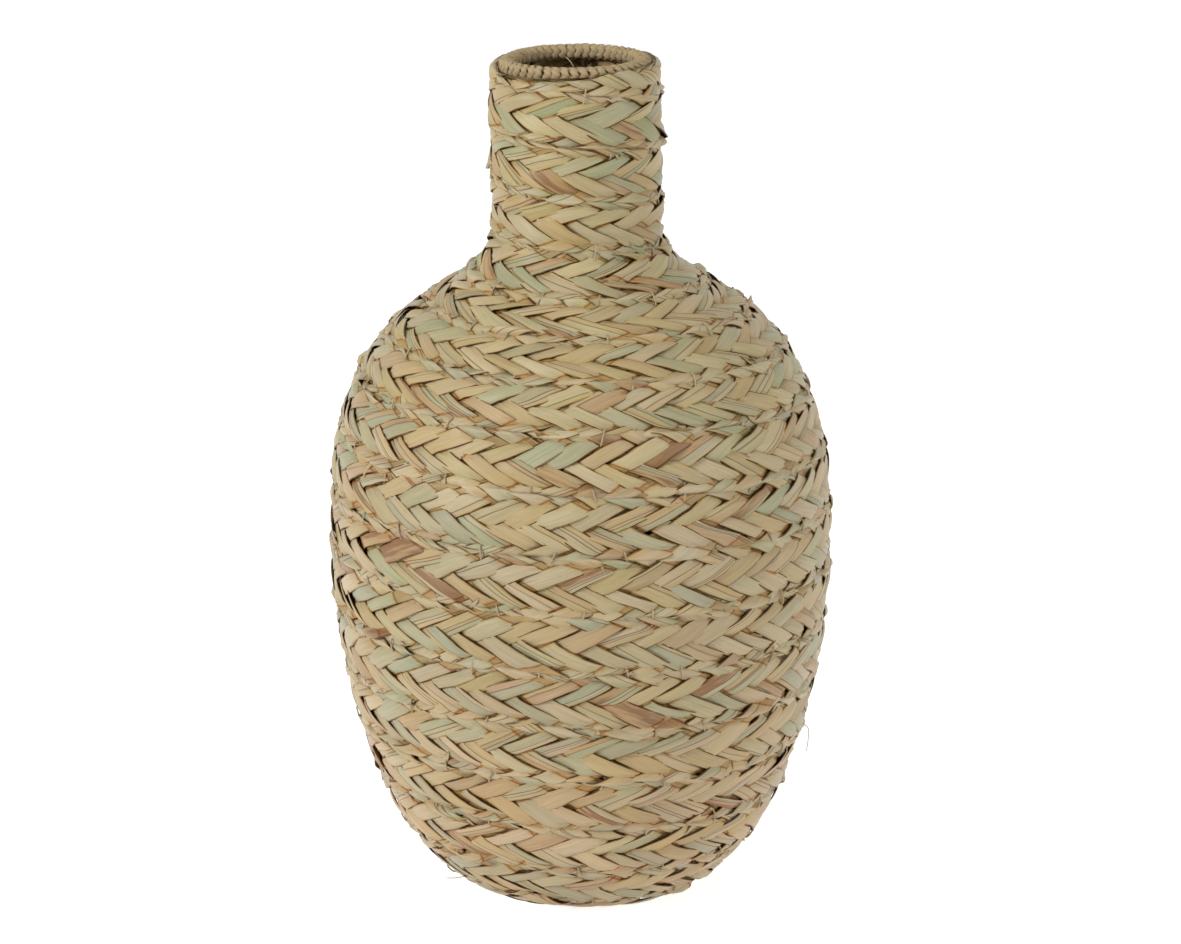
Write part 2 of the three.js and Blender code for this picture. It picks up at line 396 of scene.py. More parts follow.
class Wall:
    """The outline measured along its length."""

    def __init__(self, points):
        self.points = points
        self.lengths = [0.0]
        for before, after in zip(points, points[1:]):
            self.lengths.append(self.lengths[-1] + (after - before).length)
        self.length = self.lengths[-1]

    def at(self, distance):
        for i in range(1, len(self.points)):
            if self.lengths[i] >= distance or i + 1 == len(self.points):
                share = (distance - self.lengths[i - 1]) / (self.lengths[i] - self.lengths[i - 1])
                return self.points[i - 1].lerp(self.points[i], share)

    def distance_at_height(self, height):
        for i in range(2, len(self.points)):
            low, high = self.points[i - 1].y, self.points[i].y
            if high >= height:
                share = (height - low) / (high - low)
                return self.lengths[i - 1] + share * (self.lengths[i] - self.lengths[i - 1])


def smooth_share(value, low, high):
    share = min(max((value - low) / (high - low), 0.0), 1.0)
    return share * share * (3 - 2 * share)


def plait_courses(wall):
    """The plait step by step, as its angle, and the distances of its lower and upper edge along the outline.

    It ends where little of its width is left below the mouth.
    """
    change = wall.distance_at_height(COURSE_CHANGE_HEIGHT)
    seam = [-BODY_COURSE]
    while seam[-1] < wall.length + BODY_COURSE:
        share = smooth_share(seam[-1], change - COURSE_CHANGE_SPAN / 2, change + COURSE_CHANGE_SPAN / 2)
        course = BODY_COURSE + (NECK_COURSE - BODY_COURSE) * share
        seam.append(seam[-1] + course / STEPS_PER_COURSE)
    steps = []
    for step in range(len(seam) - STEPS_PER_COURSE):
        low = max(seam[step], BASE_HOLE_RADIUS)
        high = seam[step + STEPS_PER_COURSE]
        if min(high, wall.length) - low >= PLAIT_END_WIDTH:
            steps.append((START_ANGLE - 2 * math.pi * step / STEPS_PER_COURSE, low, high))
    return steps


def rim(mouth):
    """Points that carry the outline on over the rim, inwards."""
    points = []
    for step in range(1, RIM_STEPS + 1):
        bent = RIM_BEND * step / RIM_STEPS
        points.append(mouth + RIM_RADIUS * Vector((math.cos(bent) - 1, math.sin(bent))))
    return points


def guide(name, points, **values):
    """A line of mesh edges for Geometry Nodes to sample, with a value of each kind at each point."""
    mesh = bpy.data.meshes.new(name)
    mesh.from_pydata(points, [(i, i + 1) for i in range(len(points) - 1)], [])
    for label, numbers in values.items():
        mesh.attributes.new(label, "FLOAT", "POINT").data.foreach_set("value", numbers)
    line = bpy.data.objects.new(name, mesh)
    scene.collection.objects.link(line)
    return line


wall = Wall(wall_outline())
neck_foot = wall.distance_at_height(NECK_FOOT_HEIGHT)
courses = plait_courses(wall)
wall_line = guide("wall_line", [(point.x, 0, point.y) for point in [*wall.points, *rim(wall.points[-1])]])
middle_points = []
for angle, low, high in courses:
    point = wall.at((low + high) / 2)
    middle_points.append((point.x * math.cos(angle), point.x * math.sin(angle), point.y))
course_line = guide(
    "course_line",
    middle_points,
    angle=[angle for angle, low, high in courses],
    middle=[(low + high) / 2 for angle, low, high in courses],
    half=[(high - low) / 2 for angle, low, high in courses],
)


# Geometry Nodes


class GrowthGraph(Graph):
    """A Geometry Nodes tree, with its inputs by name."""

    def __init__(self, name, sizes):
        super().__init__(bpy.data.node_groups.new(name, "GeometryNodeTree"))
        for label, value in sizes.items():
            kind = "NodeSocketInt" if isinstance(value, int) else "NodeSocketFloat"
            self.tree.interface.new_socket(label, in_out="INPUT", socket_type=kind).default_value = value
        self.tree.interface.new_socket("Geometry", in_out="OUTPUT", socket_type="NodeSocketGeometry")
        self.sizes = self.node("NodeGroupInput")

    def line(self, guide_object):
        """A guide line as a curve."""
        mesh = self.node("GeometryNodeObjectInfo", {}, {"Object": guide_object})["Geometry"]
        return self.node("GeometryNodeMeshToCurve", {}, {"Mesh": mesh})

    def plait_guides(self):
        """The plait's middle line, the wall's outline, and the length of the first."""
        course = self.line(course_line)
        length = self.node("GeometryNodeCurveLength", {}, {"Curve": course})
        return course, self.line(wall_line), length

    def sample(self, curve, length, label=None):
        """A value of the guide line at a length along it, or the place there if no label is given."""
        inputs = {"Curves": curve, "Length": length}
        if label:
            value = self.node("GeometryNodeInputNamedAttribute", {"data_type": "FLOAT"}, {"Name": label})
            inputs["Value"] = value
        return self.node("GeometryNodeSampleCurve", {"mode": "LENGTH"}, inputs)

    def seam(self, course, along):
        """The distance of the plait's upper edge along the outline."""
        return self.sample(course, along, "middle") + self.sample(course, along, "half")

    def group(self, index, size):
        """The number of the group of that size that an index falls in."""
        return self.math("FLOOR", (index + 0.5) / size)

    def point_lines(self, count, points, position):
        """Lines through a number of points each."""
        dots = self.node("GeometryNodePoints", {}, {"Count": count * points, "Position": position})
        line = self.group(self.node("GeometryNodeInputIndex"), points)
        return self.node("GeometryNodePointsToCurves", {}, {"Points": dots, "Curve Group ID": line})

    def sweep(self, lines, corners, radius, scale=1.0):
        """A round section carried along lines, with closed ends."""
        circle = {"Resolution": corners, "Radius": radius}
        profile = self.node("GeometryNodeCurvePrimitiveCircle", {}, circle)
        inputs = {"Curve": lines, "Profile Curve": profile, "Scale": scale, "Fill Caps": True}
        return self.node("GeometryNodeCurveToMesh", {}, inputs)

    def draft(self, lines, corners):
        """Tubes whose points are placed later, in places that turn them inside out, so they are flipped."""
        return self.node("GeometryNodeFlipFaces", {}, {"Mesh": self.sweep(lines, corners, DRAFT_SIZE)})

    def tube(self, rings, corners):
        """A closed tube, and the number of each point's ring and of its corner on the ring."""
        spine = self.node("GeometryNodeMeshLine", {}, {"Count": rings, "Offset": (0.0, 0.0, DRAFT_SIZE)})
        spine = self.node("GeometryNodeMeshToCurve", {}, {"Mesh": spine})
        index = self.node("GeometryNodeInputIndex")
        ring = self.group(index, corners)
        return self.draft(spine, corners), ring, index - ring * corners

    def blades(self, count, points, corners):
        """Closed tubes of a few points each, and each point's blade, share of the way along, and corner."""
        index = self.node("GeometryNodeInputIndex")
        lines = self.point_lines(count, points, self.point(0.0, 0.0, index * DRAFT_SIZE))
        ring = self.group(index, corners)
        blade = self.group(ring, points)
        share = (ring - blade * points) / (points - 1)
        return self.draft(lines, corners), blade, share, index - ring * corners

    def thread_points(self, points):
        """The number of each point's thread, and the point's share of the way along it."""
        index = self.node("GeometryNodeInputIndex")
        thread = self.group(index, points)
        return thread, (index - thread * points) / (points - 1)

    def threads(self, count, points, corners, position, radius):
        """Thin round threads through a number of points each. The fields know a point by its index."""
        return self.sweep(self.point_lines(count, points, position), corners, 1.0, radius)

    def random(self, low, high, key, seed):
        inputs = {"Min": low, "Max": high, "ID": key, "Seed": seed}
        return self.node("FunctionNodeRandomValue", {"data_type": "FLOAT"}, inputs)

    def draws(self, key):
        """A function that gives each key a random value in a range. Each use has a row of its own."""

        def draw(low, high, row):
            return self.random(low, high, key, self.sizes["Seed"] + row)

        return draw

    def on_wall(self, wall_curve, angle, distance, depth, lowest=0.0):
        """The point at an angle round the vase, a distance along its outline and a depth inside it.

        What would be under the floor is pressed flat just above it, with what is lower staying lower.
        """
        on_outline = self.sample(wall_curve, distance)
        radius, _, height = self.split(on_outline["Position"])
        onward, _, upward = self.split(on_outline["Tangent"])
        inner_radius = radius - depth * upward
        above = height + depth * onward - lowest
        pressed = (above + self.math("SQRT", above * above + FLOOR_SOFTNESS**2)) / 2
        x = inner_radius * self.math("COSINE", angle)
        y = inner_radius * self.math("SINE", angle)
        return self.point(x, y, lowest + pressed)

    def on_ring(self, round_ring, round_wire, reach, sideways=0.0):
        """The point at angles round the mouth's ring and its wire, at a reach from the wire's middle."""
        radius = self.sizes["Ring Radius"] + reach * self.math("COSINE", round_wire)
        height = self.sizes["Ring Height"] + reach * self.math("SINE", round_wire)
        cosine = self.math("COSINE", round_ring)
        sine = self.math("SINE", round_ring)
        return self.point(radius * cosine - sideways * sine, radius * sine + sideways * cosine, height)

    def place(self, geometry, position):
        return self.node("GeometryNodeSetPosition", {}, {"Geometry": geometry, "Position": position})

    def keep(self, geometry, label, vector):
        """Stores a vector at each point, for the material to read."""
        settings = {"data_type": "FLOAT_VECTOR", "domain": "POINT"}
        inputs = {"Geometry": geometry, "Name": label, "Value": vector}
        return self.node("GeometryNodeStoreNamedAttribute", settings, inputs)

    def finish(self, geometry, material):
        smooth = self.node("GeometryNodeSetShadeSmooth", {}, {"Geometry": geometry})
        real = self.node("GeometryNodeRealizeInstances", {}, {"Geometry": smooth})
        dressed = self.node("GeometryNodeSetMaterial", {}, {"Geometry": real, "Material": material})
        self.node("NodeGroupOutput", {}, {"Geometry": dressed})
        return self


def grow(name, graph, **sizes):
    """The tree's result, with these sizes, as a plain mesh piece."""
    piece = bpy.data.objects.new(name, bpy.data.meshes.new(name))
    scene.collection.objects.link(piece)
    modifier = piece.modifiers.new("growth", "NODES")
    modifier.node_group = graph.tree
    for item in graph.tree.interface.items_tree:
        key = item.name.lower().replace(" ", "_")
        if item.in_out == "INPUT" and key in sizes:
            modifier[item.identifier] = sizes[key]
    depsgraph = bpy.context.evaluated_depsgraph_get()
    grown = bpy.data.meshes.new_from_object(
        piece.evaluated_get(depsgraph), preserve_all_data_layers=True, depsgraph=depsgraph
    )
    piece.modifiers.remove(modifier)
    bare = piece.data
    piece.data = grown
    bpy.data.meshes.remove(bare)
    grown.name = name
    return piece


def weave_cycle(crossing, offset=0.0):
    """How far a strand is through its weave, at an offset across it, both in float spacings.

    Seen against the way it is wound, it folds over at an edge and goes over one strand, under three, over
    three and under one.
    """
    return STRAND_COUNT - (crossing * STRAND_COUNT + offset) % STRAND_COUNT


def weave_height(graph, cycle):
    """1 where a strand is over the others, 0 where it is under."""
    return sum(graph.rise(cycle, low, high, 0.0, change) for low, high, change in WEAVE_CHANGES)


def signed_power(graph, value, exponent):
    return graph.math("SIGN", value) * abs(value) ** exponent


def strand_graph(material):
    """One strand of the plait: a long leaf that zigzags between the plait's edges and folds over at each."""
    graph = GrowthGraph(
        "plait strand",
        {
            "Strand": 0,
            "Seed": 7,
            "Float Spacing": FLOAT_SPACING,
            "Leaf Thickness": LEAF_THICKNESS,
            "Float Lift": FLOAT_LIFT,
            "Plait Depth": PLAIT_DEPTH,
            "Seam Pull": SEAM_PULL,
        },
    )
    sizes = graph.sizes
    strand = sizes["Strand"]
    seed = sizes["Seed"]
    spacing = sizes["Float Spacing"]
    course, wall_curve, length = graph.plait_guides()
    run = spacing * (STRAND_COUNT / 2)
    rings = graph.math("FLOOR", length / run * STEPS_PER_CROSSING) + 1
    tube, ring, corner = graph.tube(rings, LEAF_CORNERS)

    # How many times the strand has crossed the plait: even at the upper edge, odd at the lower one
    travelled = ring / STEPS_PER_CROSSING
    crossing = travelled - strand / (STRAND_COUNT / 2)

    # A new leaf starts wherever the strand is hidden under others: on each side of its float
    count = crossing + 3 / STRAND_COUNT
    whole = graph.math("FLOOR", count)
    progress = count - whole
    second_start = 4 / STRAND_COUNT
    float_middle = 6 / STRAND_COUNT
    started = graph.math("GREATER_THAN", progress, second_start)
    leaf = whole * 2 + started + strand * LEAF_NUMBERS_PER_STRAND
    next_share = graph.rise(progress, second_start - LEAF_JOIN, second_start) * (1 - started)
    next_share = next_share + graph.rise(progress, 1 - LEAF_JOIN, 1.0)

    def by_leaf(low, high, row):
        """A random value for each leaf, passing smoothly to the next leaf's. Each use has its own row."""
        here = graph.random(low, high, leaf, seed + row)
        after = graph.random(low, high, leaf + 1, seed + row)
        return here + (after - here) * next_share

    def wobble(rate, row):
        """A random change along one strand, at a rate per crossing. Each use has its own row."""
        place = graph.point(crossing * rate, strand * STRAND_STRIDE + row * ROW_STRIDE)
        return graph.noise(place, detail=1.0)

    def drift(along, rate, row, level=0.0):
        """A random change along the plait that its strands share, at a rate per metre."""
        return graph.noise(graph.point(along * rate, level, row), detail=1.0)

    # The leaf's own section, flat with thin edges
    turn = corner * (2 * math.pi / LEAF_CORNERS)
    across = signed_power(graph, graph.math("COSINE", turn), LEAF_EDGE_POWER)
    side = signed_power(graph, graph.math("SINE", turn), LEAF_FACE_POWER)
    crown = 1 - across * across
    width_share = by_leaf(1 - WIDTH_SPREAD, 1 + WIDTH_SPREAD, 1) * LEAF_WIDTH_SHARE
    half_width = spacing / 2 * (width_share + WIDTH_WOBBLE * wobble(rate=2.4, row=1))

    # At the foot the floats are narrower, which leaves dark slits between them
    onward = graph.sample(course, travelled * run, "middle")
    at_foot = graph.rise(onward, *FOOT_START) * graph.fall(onward, *FOOT_END)
    on_top = weave_height(graph, weave_cycle(crossing))
    half_width = half_width * (1 - (1 - FOOT_WIDTH_SHARE) * at_foot * on_top)

    # Along the plait, the leaf's width lies level, so that it folds over at the edges without a twist
    along = travelled * run + across * half_width
    along = along + by_leaf(-SHIFT_SPREAD, SHIFT_SPREAD, 2)
    along = along + SLOW_SHIFT * wobble(rate=1.3, row=2) + QUICK_SHIFT * wobble(rate=2.7, row=7)
    along = along + COURSE_SHIFT * drift(along, rate=6.0, row=8.8)

    cycle = weave_cycle(crossing, across * half_width / spacing)
    weave = weave_height(graph, cycle)
    arch = graph.rise(cycle, FLOAT_MIDDLE - FLOAT_REACH, FLOAT_MIDDLE)
    arch = arch * graph.fall(cycle, FLOAT_MIDDLE, FLOAT_MIDDLE + FLOAT_REACH)

    # Which way the leaf's face looks: outwards or inwards, and along the wall where it folds over
    swing = graph.math("SINE", crossing * math.pi)
    norm = graph.math("SQRT", swing * swing + FOLD_SHARE**2)
    outward = swing / norm
    upward = -FOLD_SHARE / norm
    half_thickness = sizes["Leaf Thickness"] / 2 * side

    # From edge to edge, with round turns
    turning = graph.math("COSINE", crossing * math.pi) * TURN_ROUNDNESS
    zigzag = graph.math("ARCSINE", turning) / math.asin(TURN_ROUNDNESS)
    half = graph.sample(course, along, "half")
    middle = graph.sample(course, along, "middle")
    angle = graph.sample(course, along, "angle")
    sway = drift(along, rate=11.0, row=4.4) * COURSE_SWAY
    edge = abs(zigzag) ** 5
    distance = middle + zigzag * (half + EDGE_OVERLAP) + upward * half_thickness + sway
    distance = distance + (STRAND_WANDER + STRAND_WANDER * edge) * wobble(rate=2.3, row=3)

    # Each float lies at its own slope, turned about its middle
    on_float = graph.rise(progress, *SLOPE_START) * graph.fall(progress, *SLOPE_END)
    distance = distance + by_leaf(-SLOPE_SPREAD, SLOPE_SPREAD, 9) * (progress - float_middle) * on_float

    # What is wider than the wall is high ends under the twine, just over the rim, or lower where it dips
    over = graph.math("MAXIMUM", distance - wall.length, 0.0)
    facing = graph.math("COSINE", angle - RIM_DIP_ANGLE)
    dip = graph.rise(facing, *RIM_DIP_COSINES, 0.0, RIM_DIP)
    dip = dip * (1 + by_leaf(-RIM_DIP_SPREAD, RIM_DIP_SPREAD, 10))
    distance = graph.math("MINIMUM", distance, wall.length + RIM_REACH - dip + RIM_SPILL * over)

    # Most leaves lean a little, and some have an edge that stands up
    lean = by_leaf(-1.0, 1.0, 4)
    lean = LEAN * lean + STEEP_LEAN * lean * lean * lean - LEAN_BACK + LEAN_WOBBLE * wobble(rate=2.9, row=8)

    # How far the leaf stands out: its weave, its crown and tilt, its own bends, and the plait's lumps
    height = sizes["Float Lift"] * (weave * 2 - 1 + FLOAT_ARCH * arch) + outward * half_thickness
    height = height + by_leaf(*CROWN_RANGE, 3) * crown + lean * across * (1 + edge)
    height = height + by_leaf(-BEND_SPREAD, BEND_SPREAD, 5) + BEND_WOBBLE * wobble(rate=4.1, row=4)
    lumps = drift(along, rate=24.0, row=1.7, level=zigzag * 0.6)
    bulge = by_leaf(0.0, 1.0, 6)
    on_neck = graph.rise(distance, neck_foot + NECK_BULGE_START, neck_foot + NECK_BULGE_FULL)
    weak_bulge = (BODY_BULGE + NECK_BULGE * on_neck) * (LEAST_BULGE + bulge)
    bulge = STRONG_BULGE * bulge * bulge * bulge + weak_bulge
    bulge = bulge * graph.fall(distance, wall.length - RIM_BULGE_FADE, wall.length - RIM_BULGE_END)
    rounded = BULGE_GAIN * abs(zigzag) ** 3 * (1 - abs(zigzag) ** 14)
    height = height + COURSE_LUMPS * lumps + rounded * bulge - FOLD_SINK * abs(zigzag) ** 3
    height = height + FOLD_CROWN * edge * crown
    depth = sizes["Plait Depth"] + sizes["Seam Pull"] * edge - height
    distance = graph.math("MAXIMUM", distance, BASE_HOLE_RADIUS - 0.0005)
    strand_mesh = graph.place(tube, graph.on_wall(wall_curve, angle, distance, depth))

    tone = graph.random(0.0, 1.0, leaf, seed + 11)
    shade = graph.random(0.0, 1.0, leaf, seed + 12)
    patch = graph.random(0.0, 1.0, leaf, seed + 13)
    strand_mesh = graph.keep(strand_mesh, "leaf_look", graph.point(tone, shade, patch))
    strand_mesh = graph.keep(strand_mesh, "leaf_place", graph.point(travelled, across, strand))
    return graph.finish(strand_mesh, material)


def stitch_graph(material):
    """The thread's stitches, which cross from each course to the next."""
    graph = GrowthGraph(
        "sewing stitches",
        {"Seed": 3, "Spacing": STITCH_SPACING, "Stitch Length": STITCH_LENGTH, "Diameter": STITCH_DIAMETER},
    )
    sizes = graph.sizes
    radius = sizes["Diameter"] / 2
    course, wall_curve, length = graph.plait_guides()
    count = graph.math("FLOOR", length * STITCHED_SHARE / sizes["Spacing"])
    stitch, share = graph.thread_points(STITCH_POINTS)
    by_stitch = graph.draws(stitch)
    reach = (share - 0.5) * 2
    along = (stitch + 0.5 + by_stitch(-0.25, 0.25, 0)) * sizes["Spacing"]
    along = along + by_stitch(-STITCH_SLANT, STITCH_SLANT, 1) * reach
    distance = graph.seam(course, along) + by_stitch(-0.001, 0.001, 2)
    distance = distance + reach * sizes["Stitch Length"] / 2 * by_stitch(0.8, 1.15, 3)
    depth = abs(reach) ** 5 * STITCH_SINK - STITCH_LIFT + by_stitch(0.0, 0.0008, 4)
    place = graph.on_wall(wall_curve, graph.sample(course, along, "angle"), distance, depth, radius)
    threads = graph.threads(count, STITCH_POINTS, THREAD_CORNERS, place, radius)
    return graph.finish(threads, material)


def fibre_graph(material):
    """Fine fibres, frayed from the leaves where the seams have worn them."""
    graph = GrowthGraph(
        "seam fibres", {"Seed": 5, "Count": FIBRE_COUNT, "Diameter": 0.0003, "Longest": 0.008}
    )
    sizes = graph.sizes
    course, wall_curve, length = graph.plait_guides()
    fibre, share = graph.thread_points(FIBRE_POINTS)
    by_fibre = graph.draws(fibre)
    heading = by_fibre(-math.pi, math.pi, 0)
    reach = share * sizes["Longest"] * by_fibre(0.25, 1.0, 1)
    root = length * by_fibre(0.02, 0.96, 2)
    along = root + reach * graph.math("COSINE", heading + share * by_fibre(-FIBRE_CURL, FIBRE_CURL, 3))
    distance = graph.seam(course, root) + by_fibre(-SEAM_SPREAD, SEAM_SPREAD, 4)
    distance = distance + reach * graph.math("SINE", heading + share * by_fibre(-FIBRE_CURL, FIBRE_CURL, 5))
    depth = FIBRE_ROOT_DEPTH - share * by_fibre(0.0010, 0.0030, 6)
    place = graph.on_wall(wall_curve, graph.sample(course, along, "angle"), distance, depth)
    radius = sizes["Diameter"] / 2 * (1 - FIBRE_TAPER * share)
    fibres = graph.threads(sizes["Count"], FIBRE_POINTS, FIBRE_CORNERS, place, radius)
    return graph.finish(fibres, material)


def leaf_end_graph(material):
    """Ends of leaves that stick out where the courses are sewn together."""
    graph = GrowthGraph(
        "leaf ends",
        {"Seed": 9, "Count": LEAF_END_COUNT, "Width": 0.0054, "Longest": 0.017, "Thickness": 0.0005},
    )
    sizes = graph.sizes
    course, wall_curve, length = graph.plait_guides()
    mesh, blade, share, corner = graph.blades(sizes["Count"], LEAF_END_POINTS, LEAF_END_CORNERS)
    by_blade = graph.draws(blade)
    turn = corner * (2 * math.pi / LEAF_END_CORNERS)
    across = graph.math("COSINE", turn)
    side = graph.math("SINE", turn)
    taper = 1 - share ** 2.5 * LEAF_END_TAPER
    sideways = across * sizes["Width"] / 2 * by_blade(0.5, 1.2, 0) * taper

    # An end points one way along the seam or the other, a little askew, and bends
    heading = by_blade(-0.5, 0.5, 1) + graph.math("ROUND", by_blade(0.0, 1.0, 2)) * math.pi
    bent = heading + share * by_blade(-0.7, 0.7, 3)
    reach = share * sizes["Longest"] * by_blade(0.35, 1.0, 4)
    cosine = graph.math("COSINE", bent)
    sine = graph.math("SINE", bent)
    root = length * by_blade(0.03, 0.96, 5)
    along = root + reach * cosine - sideways * sine
    distance = graph.seam(course, root) + by_blade(-SEAM_SPREAD, SEAM_SPREAD, 6)
    distance = distance + reach * sine + sideways * cosine
    depth = LEAF_END_ROOT_DEPTH - share * by_blade(0.0006, 0.0026, 7)
    depth = depth + across * by_blade(-LEAF_END_TILT, LEAF_END_TILT, 8) - side * sizes["Thickness"] / 2
    place = graph.on_wall(wall_curve, graph.sample(course, along, "angle"), distance, depth)
    mesh = graph.keep(graph.place(mesh, place), "leaf_place", graph.point(0.3 + share * 0.1, across, 0.0))
    look = graph.point(by_blade(0.0, 1.0, 11), by_blade(0.0, 1.0, 12), by_blade(0.0, 0.45, 13))
    return graph.finish(graph.keep(mesh, "leaf_look", look), material)


def twine_graph(material, ring):
    """Two-ply twine, wound round and round the mouth's ring."""
    graph = GrowthGraph(
        "mouth twine", {"Turns": TWINE_TURNS, "Width": TWINE_WIDTH, "Height": TWINE_HEIGHT, **ring}
    )
    sizes = graph.sizes
    tube, step, corner = graph.tube(sizes["Turns"] * TWINE_STEPS + 1, TWINE_CORNERS)
    wound = step / TWINE_STEPS
    round_wire = wound * (2 * math.pi)
    uneven = graph.noise(graph.point(wound * 0.9, 2.2), detail=1.0)
    leaning = TWINE_LEAN * graph.math("COSINE", round_wire)
    round_ring = (wound + TWINE_UNEVENNESS * uneven + leaning) / sizes["Turns"] * (2 * math.pi)
    turn = corner * (2 * math.pi / TWINE_CORNERS)
    across = graph.math("COSINE", turn)
    plies = 1 + PLY_DEPTH * graph.math("COSINE", turn * 2 - round_wire * TWINE_TWISTS * 2)
    thick = plies * (1 + TWINE_UNEVENNESS * graph.noise(graph.point(wound * 2.3, 5.1), detail=2.0))
    outward = graph.math("SINE", turn) * sizes["Height"] / 2 * thick
    sideways = across * sizes["Width"] / 2 * thick
    lumps = TWINE_LUMPS * graph.noise(graph.point(wound * 1.3, 9.0))
    reach = sizes["Wrap Radius"] - sizes["Height"] / 2 + outward + lumps
    mesh = graph.place(tube, graph.on_ring(round_ring, round_wire, reach, sideways))
    return graph.finish(graph.keep(mesh, "twine_place", graph.point(y=across)), material)


def hair_graph(material, ring):
    """Short hairs that stand off the twine."""
    graph = GrowthGraph("twine hairs", {"Seed": 21, "Count": HAIR_COUNT, "Diameter": 0.00018, **ring})
    sizes = graph.sizes
    hair, share = graph.thread_points(HAIR_POINTS)
    by_hair = graph.draws(hair)
    round_ring = by_hair(-math.pi, math.pi, 0) + share * by_hair(-0.06, 0.06, 1)
    round_wire = by_hair(-math.pi, math.pi, 2) + share * by_hair(-0.4, 0.4, 3)
    reach = sizes["Wrap Radius"] - HAIR_ROOT_DEPTH + share * by_hair(0.0004, 0.0017, 4)
    place = graph.on_ring(round_ring, round_wire, reach)
    radius = sizes["Diameter"] / 2 * (1 - HAIR_TAPER * share)
    hairs = graph.threads(sizes["Count"], HAIR_POINTS, HAIR_CORNERS, place, radius)
    return graph.finish(hairs, material)


def weld_caps(mesh):
    """Joins the caps of a curve's tubes to their ends."""
    shape = bmesh.new()
    shape.from_mesh(mesh)
    bmesh.ops.remove_doubles(shape, verts=shape.verts, dist=STRAY_DIAMETER / 50)
    shape.to_mesh(mesh)
    shape.free()


def stray_fibres(name, material):
    """The loose fibres that show against the background, as smooth round curves."""
    data = bpy.data.curves.new(name, "CURVE")
    data.dimensions = "3D"
    data.bevel_depth = STRAY_DIAMETER / 2
    data.bevel_resolution = 1
    data.use_fill_caps = True
    for route in STRAY_FIBRES:
        spline = data.splines.new("NURBS")
        spline.points.add(len(route) - 1)
        for point, place in zip(spline.points, route):
            point.co = (*place, 1.0)
        spline.order_u = 3
        spline.use_endpoint_u = True
    source = bpy.data.objects.new(name, data)
    scene.collection.objects.link(source)
    depsgraph = bpy.context.evaluated_depsgraph_get()
    mesh = bpy.data.meshes.new_from_object(source.evaluated_get(depsgraph), depsgraph=depsgraph)
    bpy.data.objects.remove(source)
    bpy.data.curves.remove(data)
    weld_caps(mesh)
    mesh.name = name
    mesh.materials.append(material)
    piece = bpy.data.objects.new(name, mesh)
    scene.collection.objects.link(piece)
    return piece


# Materials


def surface(name, specular):
    """A material, its graph and its shader node."""
    material = bpy.data.materials.new(name)
    material.use_nodes = True
    shader = material.node_tree.nodes["Principled BSDF"]
    shader.inputs["Specular IOR Level"].default_value = specular
    return material, Graph(material.node_tree), shader


def attribute(graph, name):
    return graph.node("ShaderNodeAttribute", {"attribute_name": name})["Vector"]


def object_place(graph):
    return graph.node("ShaderNodeTexCoord")["Object"]


def bump(graph, height, strength, distance):
    return graph.node("ShaderNodeBump", {}, {"Strength": strength, "Distance": distance, "Height": height})


def feed(graph, shader, **links):
    for name, socket in links.items():
        graph.tree.links.new(socket.output, shader.inputs[name.replace("_", " ").title()])


